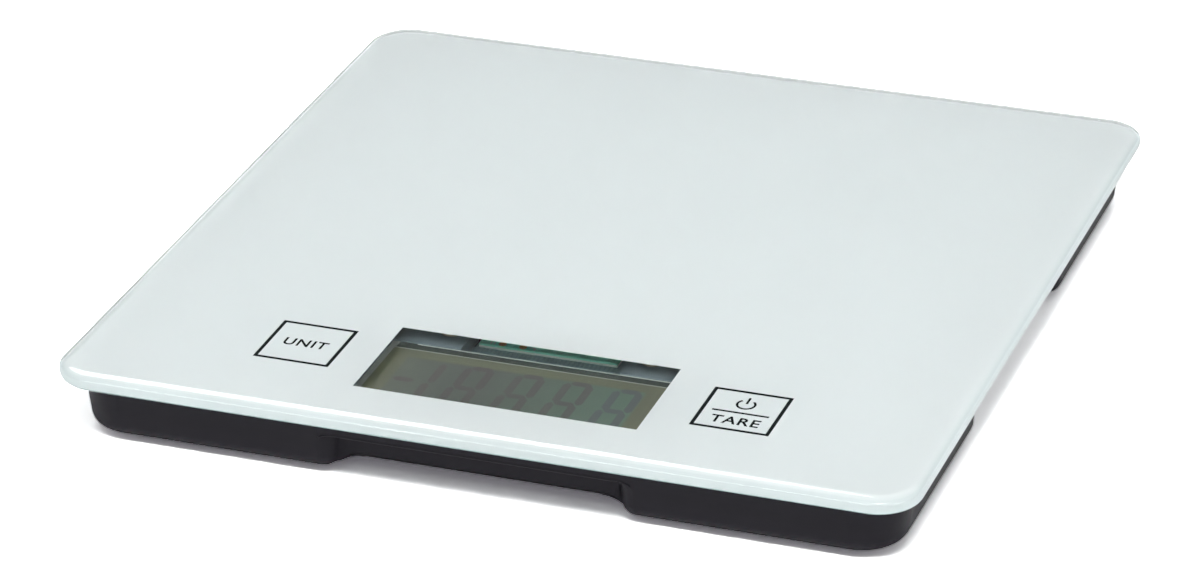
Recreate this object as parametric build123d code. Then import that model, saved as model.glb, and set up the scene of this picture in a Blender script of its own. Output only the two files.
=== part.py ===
"""Slim glass kitchen scale: a glass plate bonded to a shallow tray that stands on four weighing feet.

Millimetres. +Z is up, the display is near the -Y edge, and the origin is on the table under the middle.
"""
import os
from math import acos, degrees, hypot, radians, tan

from build123d import *

# Plate
PLATE_SIZE = 200.0
PLATE_THICKNESS = 4.0
PLATE_CORNER_R = 10.0
PLATE_EDGE_R = 1.9
TOTAL_HEIGHT = 18.0
PLATE_BOTTOM = TOTAL_HEIGHT - PLATE_THICKNESS

# Adhesive ring under the plate
ADHESIVE_THICKNESS = 0.5
ADHESIVE_INSET = 0.4
ADHESIVE_WIDTH = 1.7
RIM_TOP = PLATE_BOTTOM - ADHESIVE_THICKNESS

# Tray shell
FOOT_STANDOFF = 1.4
TRAY_BOTTOM = FOOT_STANDOFF
TRAY_OVERHANG = 3.8
TRAY_DRAFT = 5.5
TRAY_CORNER_R = 11.5
TRAY_BOTTOM_R = 3.2
WALL = 2.4
FLOOR = 1.6
RIM_HALF = PLATE_SIZE / 2 - TRAY_OVERHANG
FLOOR_TOP = TRAY_BOTTOM + FLOOR

# Raised cross under the tray
CROSS_LIFT = 2.5
CROSS_HALF = 27.5
CROSS_RAMP_R = 9.0
CROSS_FOOT_R = 4.0
CROSS_OVERCUT = 0.02
CROSS_RAMP_WIDTH = 9.0
RAISED_BOTTOM = TRAY_BOTTOM + CROSS_LIFT
RAISED_FLOOR = RAISED_BOTTOM + FLOOR

# Finger recess in the middle of each side
RECESS_TOP = TOTAL_HEIGHT - 7.6
RECESS_WALL_Y = 91.9
RECESS_FLAT_HALF = 31.8
RECESS_MOUTH_HALF = 33.9
RECESS_INNER_R = 2.4
RECESS_OUTER_R = 4.6
RECESS_ARCH_HALF = 38.2
RECESS_ARCH_R = 5.0
RECESS_BACKING = 2.7
RECESS_BEVEL = 0.5

# Weighing corners: foot, pad, load cell and its retainer
FOOT_OFFSET = 70.0
FOOT_R = 11.0
FOOT_RUNNING_GAP = 0.06
FOOT_BOTTOM = 0.8
FOOT_FLANGE_R = 13.0
FOOT_FLANGE_TOP = FLOOR_TOP + 1.2
FOOT_EDGE_R = 0.5
PLUNGER_R = 3.0
PAD_R = 9.2
PAD_TOP = 1.6
PAD_EDGE_R = 0.4
PAD_GROOVE_R = (5.4, 6.6)
PAD_GROOVE_DEPTH = 0.6
CELL_SIZE = 30.0
CELL_BOTTOM = 5.5
CELL_TOP = CELL_BOTTOM + 1.5
CELL_SLOT = 1.6
CELL_TONGUE_HALF = (6.5, 10.0)
CELL_SEAT_OFFSET = 12.0
CELL_SEAT_R = 2.2
GAUGE_HALF = 3.0
GAUGE_Y = (2.0, 9.5)
GAUGE_FILM = 0.15
RETAINER_SIZE = 33.0
RETAINER_OPENING = 24.0
RETAINER_TOP = CELL_TOP + 1.6
RETAINER_CORNER_R = 2.0
RETAINER_NOTCH_HALF = 1.5
EAR_OFFSET = 19.0
EAR_R = 3.2
BOSS_R = 2.8
BOSS_HOLE_DEPTH = 3.6

# Self-tapping screws
SCREW_SHANK_R = 1.1
SCREW_HEAD_R = 2.3
SCREW_HEAD_H = 1.3
SCREW_LENGTH = 4.5
SCREW_CLEARANCE_R = 1.3
CROSS_SLOT = (2.6, 0.5, 0.7)

# Display
LCD_HALF = 35.2
LCD_FRONT_Y = -85.6
LCD_FRONT_GLASS_BACK_Y = -54.3
LCD_REAR_GLASS_BACK_Y = -57.4
LCD_FILM_INSET = 1.6
LCD_POLARISER_BACK_Y = -57.2
LCD_BASE = 9.2
LCD_FILM = 0.2
LCD_GLASS = 0.7
LCD_GAP = 0.15
FRAME_HALF = 38.2
FRAME_FRONT_Y = -88.0
FRAME_BACK_Y = -48.0
FRAME_BOTTOM = 7.6
FRAME_TOP = 11.4
FRAME_LEDGE_TOP = 11.0
FRAME_NOTCH_HALF = 19.0
FRAME_NOTCH_FLOOR = 8.7
FRAME_EARS = [(-41.8, -80.0), (41.8, -80.0)]
FRAME_EAR_REACH = 5.0
FRAME_EAR_TOP = 9.2
FRAME_LUG_X = (19.0, 28.5)
FRAME_LUG_BACK_Y = -43.2
FRAME_LUG_SCREWS = [(-24.0, -46.6), (24.0, -46.6)]
FRAME_LUG_SEAT = 9.9
FRAME_LUG_COUNTERBORE_R = 2.6
FRAME_LUG_HOLE_DEPTH = 2.4
FLEX_HALF = 17.8
FLEX_THICKNESS = 0.2
FLEX_BOND_Y = -57.0
FLEX_DROP_Y = -53.7
FLEX_END_Y = -44.0
FLEX_LOW_Z = 8.85
FLEX_BEND_R = 0.4

# Circuit board
BOARD_BOTTOM = 9.0
BOARD_TOP = 10.0
BOARD_HALF = 38.0
BOARD_FRONT_Y = -42.8
BOARD_BACK_Y = -18.0
BOARD_TAB_X = (-16.9, 16.2)
BOARD_TAB_Y = -48.2
BOARD_SCREWS = [(-34.0, -40.0), (34.0, -40.0), (-34.0, -22.0), (34.0, -22.0)]
BLOB_PLACE = (0.0, -33.0)
BLOB_R = 6.0
BLOB_HEIGHT = 1.6
CHIP_SIZE = (2.0, 1.25, 0.6)
CHIP_COLUMNS = 5
CHIP_ROWS = 2
CHIP_PITCH = 4.2
CHIP_START = (10.5, -31.0)
CONNECTOR_Y = (-33.5, -28.0)
CONNECTOR_SIZE = (5.0, 5.0, 2.4)

# Touch keys: foil on the back of the plate
KEY_FOIL = (17.0, 17.0, 0.15)
KEY_UNIT = (-50.75, -67.6)
KEY_TARE = (52.4, -68.0)

# Coin cell, its well and its door
BATTERY_Y = 24.0
BATTERY_R = 10.0
BATTERY_HEIGHT = 3.2
BATTERY_BOTTOM = 5.6
BATTERY_RIM_R = 0.4
BATTERY_CAP_R = 8.8
BATTERY_CAP_STEP = 0.35
WELL_R = 10.4
WELL_OUTER_R = 11.8
WELL_PAD_HALF = 16.0
WELL_PAD_Y = (6.0, 41.0)
WELL_PAD_TOP = 7.6
WELL_ROOF = 9.6
WELL_ROOF_TOP = 10.6
DOOR_HALF = 12.5
DOOR_THICKNESS = 1.4
DOOR_HINGE_Y = 9.0
DOOR_END_Y = 38.0
DOOR_GAP = 0.3
DOOR_CORNER_R = 2.0
DOOR_BARREL_R = 1.2
DOOR_PIN_R = 0.8
DOOR_PIN_LENGTH = 1.6
DOOR_PIN_GAP = 0.05
DOOR_GRIP_HALF = 5.0
DOOR_GRIP_Y = (34.0, 36.5)
DOOR_GRIP_DEPTH = 0.6
HINGE_Z = RAISED_BOTTOM + DOOR_BARREL_R
CONTACT_THICKNESS = 0.25
CONTACT_HALF = 2.0
CONTACT_TAB_X = -6.5
CONTACT_BEND_X = 1.0
CONTACT_TIP_X = 6.0
CONTACT_TAB_TOP = 11.8
CONTACT_FOOT = 6.2
CONTACT_GAP = 0.3

# Leads: routes of the middle line, chosen by hand, and the radius of each kind
CELL_LEAD_R = 0.6
CELL_LEAD_Z = 7.8
CELL_LEAD_ROUTES = {
    "front_left": [(-70, -62), (-70, -45), (-53, -34.5), (-38.3, -33.5)],
    "front_right": [(62, -70), (48, -70), (47, -51), (48, -38), (38.3, -33.5)],
    "back_right": [(70, 62), (70, 38), (60, 6), (49, -22), (38.3, -28)],
    "back_left": [(-62, 70), (-48, 70), (-45, 46), (-48, 12), (-49, -20), (-38.3, -28)],
}
BATTERY_LEAD_R = 0.5
BATTERY_LEAD_ROUTES = [
    [(-6.5, 22.0, 11.2), (-8.5, 8, 11.2), (-7, -7, 11.0), (-5.5, -20, 10.55)],
    [(10.125, 22.0, 11.2), (10, 8, 11.2), (7, -7, 11.0), (5.5, -20, 10.55)],
]
ELECTRODE_LEAD_R = 0.4
ELECTRODE_LEAD_ROUTES = [
    [(-45.5, -62, 13.4), (-44.5, -54, 13.3), (-39, -46, 12.2), (-29.5, -42, 10.45)],
    [(47.0, -62, 13.4), (45.0, -54, 13.3), (39, -46, 12.2), (29.5, -42, 10.45)],
]
BEND_SHARE = 0.45

CORNERS = ["front_left", "front_right", "back_right", "back_left"]
PAST = 1.0
TINY = 0.001


def prism(x_span, y_span, z_span):
    """Box between the low and high limit on each axis."""
    size = [high - low for low, high in (x_span, y_span, z_span)]
    middle = [(high + low) / 2 for low, high in (x_span, y_span, z_span)]
    return Pos(*middle) * Box(*size)


def disc(radius, z_low, z_high, x=0.0, y=0.0):
    """Upright cylinder between two heights."""
    return Pos(x, y, (z_low + z_high) / 2) * Cylinder(radius, z_high - z_low)


def slab(width, corner, z_low, z_high):
    """Upright slab on a square with round corners."""
    return Pos(0, 0, z_low) * extrude(RectangleRounded(width, width, corner), z_high - z_low)


def four_sides(shape):
    """The shape and its three quarter turns about the middle of the scale."""
    return [Rot(0, 0, 90 * turn) * shape for turn in range(4)]


def at_corner(shape, turn):
    """Move a corner's piece, drawn about its own middle, to the given corner of the tray."""
    return Rot(0, 0, 90 * turn) * Pos(-FOOT_OFFSET, -FOOT_OFFSET, 0) * shape


def each_corner(shape):
    """The same corner's piece at all four corners."""
    return [at_corner(shape, turn) for turn in range(len(CORNERS))]


def screw(x, y, seat):
    """Self-tapping screw with a cross slot, its head standing on the seat height."""
    head_top = seat + SCREW_HEAD_H
    length, width, depth = CROSS_SLOT
    body = disc(SCREW_HEAD_R, seat, head_top, x, y) + disc(SCREW_SHANK_R, seat - SCREW_LENGTH, seat, x, y)
    for size_x, size_y in ((length, width), (width, length)):
        body -= Pos(x, y, head_top - depth / 2) * Box(size_x, size_y, depth)
    return body


def boss(x, y, base, top, hole_depth=BOSS_HOLE_DEPTH):
    """Post with a hole that the screw's thread bites into."""
    post = disc(BOSS_R, base, top, x, y)
    return post, disc(SCREW_SHANK_R, top - hole_depth, top + PAST, x, y)


def tube(points, radius):
    """Lead along straight runs joined by arcs as large as the runs allow."""
    places = [Vector(*point) for point in points]
    runs = [after - before for before, after in zip(places, places[1:])]
    radii = []
    for before, after in zip(runs, runs[1:]):
        half_turn = radians(before.get_angle(after)) / 2
        radii.append(BEND_SHARE * min(before.length, after.length) / tan(half_turn))
    path = FilletPolyline(*points, radius=radii)
    section = Plane(origin=path @ 0, z_dir=path % 0) * Circle(radius)
    return sweep(section, path=path), radii


def rim_outline(inset):
    """Square outline of the tray at its rim, set in from its outer wall."""
    width = 2 * (RIM_HALF - inset)
    return Pos(0, 0, RIM_TOP) * RectangleRounded(width, width, TRAY_CORNER_R - inset)


def drafted(outline, bottom):
    """Solid from an outline at the rim down to a height, drawn in by the draft."""
    return extrude(outline, amount=RIM_TOP - bottom, dir=(0, 0, -1), taper=TRAY_DRAFT)


def drawn_in(y, z):
    """Distance from the middle, at a height, of a drafted wall that is at a distance at the rim."""
    return y - (RIM_TOP - z) * tan(radians(TRAY_DRAFT))


def cross_arm():
    """Space under one arm of the raised cross: a flat ceiling that rolls down on to the corner blocks."""
    slope = degrees(acos(1 - (CROSS_LIFT + CROSS_OVERCUT) / (CROSS_RAMP_R + CROSS_FOOT_R)))
    ramp = JernArc((CROSS_HALF, RAISED_BOTTOM), (1, 0), CROSS_RAMP_R, -slope)
    foot_round = JernArc(ramp @ 1, ramp % 1, CROSS_FOOT_R, slope)
    foot_end = foot_round @ 1
    skirt = Line(foot_end, (foot_end.X, TRAY_BOTTOM - PAST))
    half = [ramp, foot_round, skirt]
    ceiling = Line((-CROSS_HALF, RAISED_BOTTOM), (CROSS_HALF, RAISED_BOTTOM))
    mouth = Line((-foot_end.X, TRAY_BOTTOM - PAST), (foot_end.X, TRAY_BOTTOM - PAST))
    outline = half + [mirror(line, about=Plane.YZ) for line in half] + [ceiling, mouth]
    section = Plane.XZ * make_face(outline)
    return extrude(section, amount=PLATE_SIZE / 2, both=True)


def notched_outline():
    """Rim outline with a notch in the middle of each side, round where it meets the corner blocks."""
    inner = (RECESS_FLAT_HALF, -RECESS_WALL_Y)
    mouth = (RECESS_MOUTH_HALF, -RIM_HALF)
    half = [inner, mouth, (RECESS_MOUTH_HALF, -PLATE_SIZE)]
    other_half = [(-x, y) for x, y in reversed(half)]
    notch = Pos(0, 0, RIM_TOP) * make_face(Polyline(*half, *other_half, close=True))
    outline = rim_outline(0) - four_sides(notch)
    for (x, y), radius in ((inner, RECESS_INNER_R), (mouth, RECESS_OUTER_R)):
        reach = hypot(x, y)
        bends = [bend for bend in outline.vertices() if abs(hypot(bend.X, bend.Y) - reach) < TINY]
        outline = fillet(bends, radius)
    return outline


def recess_arch():
    """Space under the front recess's lip, whose ends roll down to the corner blocks."""
    height = RECESS_TOP - TRAY_BOTTOM + PAST
    arch = Pos(0, TRAY_BOTTOM - PAST + height / 2) * Rectangle(2 * RECESS_ARCH_HALF, height)
    arch = fillet(arch.vertices().group_by(Axis.Y)[-1], RECESS_ARCH_R)
    return Pos(0, -RECESS_WALL_Y + RECESS_BACKING, 0) * extrude(Plane.XZ * arch, amount=PLATE_SIZE)


def recess_bevels():
    """Bars that take the sharp edge off the recess's lip and off the lower edge of its wall."""
    side = RECESS_BEVEL * 2 ** 0.5
    lip = (RECESS_ARCH_HALF - RECESS_ARCH_R, drawn_in(RIM_HALF, RECESS_TOP), RECESS_TOP)
    wall_foot = (CROSS_HALF, drawn_in(RECESS_WALL_Y, RAISED_BOTTOM), RAISED_BOTTOM)
    return [Pos(0, -y, z) * Rot(45, 0, 0) * Box(2 * half, side, side) for half, y, z in (lip, wall_foot)]


def tray_shell():
    """Tray with its recesses and raised cross, hollow, before anything is added inside."""
    blocks = drafted(notched_outline(), TRAY_BOTTOM)
    blocks = fillet(blocks.faces().sort_by(Axis.Z)[0].edges(), TRAY_BOTTOM_R)
    arm = cross_arm()
    blocks -= [arm, Rot(0, 0, 90) * arm]
    band = drafted(rim_outline(0), RECESS_TOP - RECESS_ARCH_R) - four_sides(recess_arch())
    shell = blocks + band
    for bar in recess_bevels():
        shell -= four_sides(bar)
    hollow = drafted(rim_outline(WALL), FLOOR_TOP)
    arm_half = CROSS_HALF + CROSS_RAMP_WIDTH
    raised = prism((-arm_half, arm_half), (-PLATE_SIZE, PLATE_SIZE), (0, RAISED_FLOOR))
    hollow -= [raised, Rot(0, 0, 90) * raised]
    recess_half = RECESS_MOUTH_HALF + RECESS_OUTER_R
    inner_face = RECESS_BACKING - RECESS_WALL_Y
    backing = prism((-recess_half, recess_half), (-PLATE_SIZE, inner_face), (0, TOTAL_HEIGHT))
    hollow -= four_sides(backing)
    return shell - hollow


def well():
    """Coin cell's well on the tray floor: what is added, and what is cut for cell, door and contacts."""
    pad = prism((-WELL_PAD_HALF, WELL_PAD_HALF), WELL_PAD_Y, (RAISED_FLOOR - PAST, WELL_PAD_TOP))
    added = [pad, disc(WELL_OUTER_R, RAISED_FLOOR, WELL_ROOF_TOP, y=BATTERY_Y)]
    reach = DOOR_HALF + DOOR_GAP
    below = RAISED_BOTTOM - PAST
    seat_top = RAISED_BOTTOM + DOOR_THICKNESS + DOOR_GAP / 2
    barrel = DOOR_BARREL_R + DOOR_GAP
    negative_x = (CONTACT_TAB_X - CONTACT_GAP, CONTACT_TAB_X + CONTACT_GAP)
    positive_x = (BATTERY_R - CONTACT_GAP, BATTERY_R + CONTACT_THICKNESS + CONTACT_GAP)
    slot_y = (BATTERY_Y - CONTACT_HALF - CONTACT_GAP, BATTERY_Y + CONTACT_HALF + CONTACT_GAP)
    pin_reach = DOOR_HALF + DOOR_PIN_LENGTH + DOOR_GAP
    cut = [
        disc(WELL_R, below, WELL_ROOF, y=BATTERY_Y),
        prism((-reach, reach), (DOOR_HINGE_Y, DOOR_END_Y + DOOR_GAP), (below, seat_top)),
        prism((-reach, reach), (DOOR_HINGE_Y - barrel, DOOR_HINGE_Y + barrel), (below, HINGE_Z + barrel)),
        hinge_rod(DOOR_PIN_R + DOOR_PIN_GAP, pin_reach),
        prism(negative_x, slot_y, (WELL_ROOF - PAST, WELL_ROOF_TOP + PAST)),
        prism(positive_x, slot_y, (seat_top, WELL_ROOF_TOP + PAST)),
    ]
    return added, cut


def hinge_rod(radius, half_length):
    """Rod along the door's hinge axis."""
    return Pos(0, DOOR_HINGE_Y, HINGE_Z) * Rot(0, 90, 0) * Cylinder(radius, 2 * half_length)


def base_tray():
    """Tray with foot holes, cell seats, screw bosses, the coin cell's well and the door's hinge."""
    added, cut = well()
    for x in (-CELL_SEAT_OFFSET, CELL_SEAT_OFFSET):
        for y in (-CELL_SEAT_OFFSET, CELL_SEAT_OFFSET):
            added += each_corner(disc(CELL_SEAT_R, FLOOR_TOP - PAST, CELL_BOTTOM, x, y))
    for x in (-EAR_OFFSET, EAR_OFFSET):
        post, hole = boss(x, 0, FLOOR_TOP - PAST, CELL_TOP)
        added += each_corner(post)
        cut += each_corner(hole)
    cut += each_corner(disc(FOOT_R + FOOT_RUNNING_GAP, 0, FLOOR_TOP + PAST))
    stands = [(x, y, FLOOR_TOP - PAST, FRAME_BOTTOM) for x, y in FRAME_EARS]
    lug_holes = (RAISED_FLOOR - PAST, FRAME_BOTTOM, FRAME_LUG_HOLE_DEPTH)
    stands += [(x, y, *lug_holes) for x, y in FRAME_LUG_SCREWS]
    stands += [(x, y, RAISED_FLOOR - PAST, BOARD_BOTTOM) for x, y in BOARD_SCREWS]
    for stand in stands:
        post, hole = boss(*stand)
        added.append(post)
        cut.append(hole)
    return tray_shell() + added - cut


def glass_platform():
    """Plate with round corners and a pencil-round edge."""
    plate = slab(PLATE_SIZE, PLATE_CORNER_R, PLATE_BOTTOM, TOTAL_HEIGHT)
    faces = plate.faces().sort_by(Axis.Z)
    return fillet(faces[0].edges() + faces[-1].edges(), PLATE_EDGE_R)


def adhesive_ring():
    """Adhesive between the tray's rim and the plate."""
    rings = []
    for inset in (ADHESIVE_INSET, ADHESIVE_INSET + ADHESIVE_WIDTH):
        width = 2 * (RIM_HALF - inset)
        rings.append(slab(width, TRAY_CORNER_R - inset, RIM_TOP, PLATE_BOTTOM))
    return rings[0] - rings[1]


def foot():
    """Foot: a disc through the tray floor, a flange that keeps it in, and a plunger under the load cell."""
    body = disc(FOOT_R, FOOT_BOTTOM, FLOOR_TOP)
    body = fillet(body.edges().sort_by(Axis.Z)[0], FOOT_EDGE_R)
    body += disc(FOOT_FLANGE_R, FLOOR_TOP, FOOT_FLANGE_TOP)
    body += disc(PLUNGER_R, FOOT_FLANGE_TOP, CELL_BOTTOM)
    return body - disc(PAD_R, FOOT_BOTTOM - PAST, PAD_TOP)


def foot_pad():
    """Rubber pad in the foot's underside, with a ring groove."""
    inner, outer = PAD_GROOVE_R
    pad = disc(PAD_R, 0, PAD_TOP)
    pad = fillet(pad.edges().sort_by(Axis.Z)[0], PAD_EDGE_R)
    return pad - (disc(outer, -PAST, PAD_GROOVE_DEPTH) - disc(inner, -PAST, PAD_GROOVE_DEPTH))


def load_cell():
    """Steel plate with a U-shaped slot, so that its tongue bends when the foot lifts it."""
    half_x, half_y = CELL_TONGUE_HALF
    height = (CELL_BOTTOM - PAST, CELL_TOP + PAST)
    plate = slab(CELL_SIZE, RETAINER_CORNER_R, CELL_BOTTOM, CELL_TOP)
    for side in (-1, 1):
        edges = sorted((side * half_x, side * (half_x + CELL_SLOT)))
        plate -= prism(edges, (-half_y - CELL_SLOT, half_y), height)
    return plate - prism((-half_x - CELL_SLOT, half_x + CELL_SLOT), (-half_y - CELL_SLOT, -half_y), height)


def strain_gauge():
    """Gauge film on the tongue's root."""
    return prism((-GAUGE_HALF, GAUGE_HALF), GAUGE_Y, (CELL_TOP, CELL_TOP + GAUGE_FILM))


def cell_retainer():
    """Frame that clamps the load cell's rim, with an ear at two sides and a notch for the lead."""
    frame = slab(RETAINER_SIZE, RETAINER_CORNER_R, CELL_TOP, RETAINER_TOP)
    for side in (-1, 1):
        ear_x = sorted((side * RETAINER_OPENING / 2, side * EAR_OFFSET))
        frame += disc(EAR_R, CELL_TOP, RETAINER_TOP, side * EAR_OFFSET)
        frame += prism(ear_x, (-EAR_R, EAR_R), (CELL_TOP, RETAINER_TOP))
    height = (CELL_TOP - PAST, RETAINER_TOP + PAST)
    opening = (-RETAINER_OPENING / 2, RETAINER_OPENING / 2)
    frame -= prism(opening, opening, height)
    frame -= prism((-RETAINER_NOTCH_HALF, RETAINER_NOTCH_HALF), (0, RETAINER_SIZE), height)
    for side in (-1, 1):
        frame -= disc(SCREW_CLEARANCE_R, *height, side * EAR_OFFSET)
    return frame


def lcd_layer(inset, back_y, z_low, thickness):
    """Flat layer of the display, set in from the display's outline on all sides."""
    half = LCD_HALF - inset
    return prism((-half, half), (LCD_FRONT_Y + inset, back_y - inset), (z_low, z_low + thickness))


def lcd_layers():
    """The display's layers, from the reflector at the bottom to the polariser on top."""
    rear = LCD_BASE + LCD_FILM
    front = rear + LCD_GLASS
    polariser_back = LCD_POLARISER_BACK_Y + LCD_FILM_INSET
    return {
        "lcd_reflector": lcd_layer(LCD_FILM_INSET, LCD_REAR_GLASS_BACK_Y, LCD_BASE, LCD_FILM),
        "lcd_rear_glass": lcd_layer(0, LCD_REAR_GLASS_BACK_Y, rear, LCD_GLASS),
        "lcd_front_glass": lcd_layer(0, LCD_FRONT_GLASS_BACK_Y, front, LCD_GLASS),
        "lcd_polariser": lcd_layer(LCD_FILM_INSET, polariser_back, front + LCD_GLASS, LCD_FILM),
    }


def lcd_frame():
    """Holder of the display, with a ledge behind it, a notch for the board's tab, screw ears and lugs."""
    above = (LCD_BASE, TOTAL_HEIGHT)
    back_wall = LCD_FRONT_GLASS_BACK_Y + LCD_GAP
    behind = (back_wall - PAST, FRAME_BACK_Y + PAST)
    frame = prism((-FRAME_HALF, FRAME_HALF), (FRAME_FRONT_Y, FRAME_BACK_Y), (FRAME_BOTTOM, FRAME_TOP))
    for x, y in FRAME_EARS:
        ear_x = sorted((x, x - FRAME_EAR_REACH * x / abs(x)))
        frame += disc(EAR_R, FRAME_BOTTOM, FRAME_EAR_TOP, x, y)
        frame += prism(ear_x, (y - EAR_R, y + EAR_R), (FRAME_BOTTOM, FRAME_EAR_TOP))
    for side in (-1, 1):
        lug_x = sorted(side * x for x in FRAME_LUG_X)
        frame += prism(lug_x, (FRAME_BACK_Y, FRAME_LUG_BACK_Y), (FRAME_BOTTOM, FRAME_LEDGE_TOP))
    frame -= prism((-LCD_HALF - LCD_GAP, LCD_HALF + LCD_GAP), (LCD_FRONT_Y - LCD_GAP, back_wall), above)
    frame -= prism((-FRAME_HALF, FRAME_HALF), behind, (FRAME_LEDGE_TOP, TOTAL_HEIGHT))
    frame -= prism((-FRAME_NOTCH_HALF, FRAME_NOTCH_HALF), behind, (FRAME_NOTCH_FLOOR, TOTAL_HEIGHT))
    for x, y in FRAME_LUG_SCREWS:
        frame -= disc(FRAME_LUG_COUNTERBORE_R, FRAME_LUG_SEAT, TOTAL_HEIGHT, x, y)
    for x, y in FRAME_EARS + FRAME_LUG_SCREWS:
        frame -= disc(SCREW_CLEARANCE_R, FRAME_BOTTOM - PAST, TOTAL_HEIGHT, x, y)
    return frame


def lcd_screws():
    """Screws of the holder's ears and lugs."""
    at_ears = [screw(x, y, FRAME_EAR_TOP) for x, y in FRAME_EARS]
    return at_ears + [screw(x, y, FRAME_LUG_SEAT) for x, y in FRAME_LUG_SCREWS]


def lcd_flex():
    """Printed strip from under the front glass's ledge down and back under the circuit board."""
    ledge = LCD_BASE + LCD_FILM + LCD_GLASS - FLEX_THICKNESS / 2
    line = FilletPolyline((FLEX_BOND_Y, ledge), (FLEX_DROP_Y, ledge), (FLEX_DROP_Y, FLEX_LOW_Z),
                          (FLEX_END_Y, FLEX_LOW_Z), radius=FLEX_BEND_R)
    return extrude(Plane.YZ * trace(line, FLEX_THICKNESS), amount=FLEX_HALF, both=True)


def circuit_board():
    """Board with a tab that reaches forward to the display, and a hole at each screw."""
    height = (BOARD_BOTTOM, BOARD_TOP)
    board = prism((-BOARD_HALF, BOARD_HALF), (BOARD_FRONT_Y, BOARD_BACK_Y), height)
    board += prism(BOARD_TAB_X, (BOARD_TAB_Y, BOARD_FRONT_Y), height)
    for x, y in BOARD_SCREWS:
        board -= disc(SCREW_CLEARANCE_R, BOARD_BOTTOM - PAST, BOARD_TOP + PAST, x, y)
    return board


def controller_blob():
    """Dome of epoxy over the controller."""
    ball_r = (BLOB_R ** 2 + BLOB_HEIGHT ** 2) / (2 * BLOB_HEIGHT)
    x, y = BLOB_PLACE
    ball = Pos(x, y, BOARD_TOP + BLOB_HEIGHT - ball_r) * Sphere(ball_r)
    return ball & disc(2 * BLOB_R, BOARD_TOP, BOARD_TOP + 2 * BLOB_HEIGHT, x, y)


def board_components():
    """Chip resistors and capacitors in rows beside the controller."""
    length, width, height = CHIP_SIZE
    x_start, y_start = CHIP_START
    chips = []
    for column in range(CHIP_COLUMNS):
        for row in range(CHIP_ROWS):
            place = Pos(x_start + column * CHIP_PITCH, y_start - row * CHIP_PITCH, BOARD_TOP + height / 2)
            chips.append(place * Box(length, width, height))
    return group(chips)


def lead_connectors():
    """Plugs under the board's left and right edges, where the cells' leads end."""
    length, width, height = CONNECTOR_SIZE
    x = BOARD_HALF - length / 2
    z = BOARD_BOTTOM - height / 2
    plug = Box(length, width, height)
    return group([Pos(side * x, y, z) * plug for side in (-1, 1) for y in CONNECTOR_Y])


def key_electrode(place):
    """Copper foil on the back of the plate, under a touch key."""
    length, width, thickness = KEY_FOIL
    return Pos(*place, PLATE_BOTTOM - thickness / 2) * Box(length, width, thickness)


def battery_cell():
    """Coin cell: a can with a round lower edge and a smaller cap on top."""
    top = BATTERY_BOTTOM + BATTERY_HEIGHT
    can = disc(BATTERY_R, BATTERY_BOTTOM, top - BATTERY_CAP_STEP, y=BATTERY_Y)
    can = fillet(can.edges().sort_by(Axis.Z)[0], BATTERY_RIM_R)
    return can + disc(BATTERY_CAP_R, top - BATTERY_CAP_STEP, top, y=BATTERY_Y)


def battery_contact_negative():
    """Spring strip under the well's roof that presses on the cell's cap, with a tab up through the roof."""
    upper = WELL_ROOF - CONTACT_THICKNESS / 2
    touch = BATTERY_BOTTOM + BATTERY_HEIGHT + CONTACT_THICKNESS / 2
    tab = [(CONTACT_TAB_X, CONTACT_TAB_TOP), (CONTACT_TAB_X, upper)]
    line = Polyline(*tab, (CONTACT_BEND_X, upper), (CONTACT_TIP_X, touch))
    strip = extrude(Plane.XZ * trace(line, CONTACT_THICKNESS), amount=CONTACT_HALF, both=True)
    return Pos(0, BATTERY_Y, 0) * strip


def battery_contact_positive():
    """Strip that stands against the side of the cell's can."""
    x_span = (BATTERY_R, BATTERY_R + CONTACT_THICKNESS)
    y_span = (BATTERY_Y - CONTACT_HALF, BATTERY_Y + CONTACT_HALF)
    return prism(x_span, y_span, (CONTACT_FOOT, CONTACT_TAB_TOP))


def battery_door():
    """Door with a hinge barrel and pins at one end and a grip for the finger near the other."""
    length = DOOR_END_Y - DOOR_HINGE_Y
    middle = (DOOR_END_Y + DOOR_HINGE_Y) / 2
    top = RAISED_BOTTOM + DOOR_THICKNESS
    door = Pos(0, middle, (RAISED_BOTTOM + top) / 2) * Box(2 * DOOR_HALF, length, DOOR_THICKNESS)
    far_corners = door.edges().filter_by(Axis.Z).group_by(Axis.Y)[-1]
    door = fillet(far_corners, DOOR_CORNER_R)
    door += [hinge_rod(DOOR_BARREL_R, DOOR_HALF), hinge_rod(DOOR_PIN_R, DOOR_HALF + DOOR_PIN_LENGTH)]
    for scoop_y in DOOR_GRIP_Y:
        scoop = Rot(0, 90, 0) * Cylinder(DOOR_GRIP_DEPTH, 2 * DOOR_GRIP_HALF)
        door -= Pos(0, scoop_y, RAISED_BOTTOM) * scoop
    return door


def group(shapes):
    """Separate solids kept together under one name."""
    return Compound([solid for shape in shapes for solid in shape.solids()])


def leads(routes, radius):
    """One lead along each route, as separate solids under one name."""
    tubes = []
    for route in routes:
        lead, radii = tube(route, radius)
        print("lead", [round(bend, 1) for bend in radii], round(lead.volume, 2))
        tubes.append(lead)
    return group(tubes)


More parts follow.
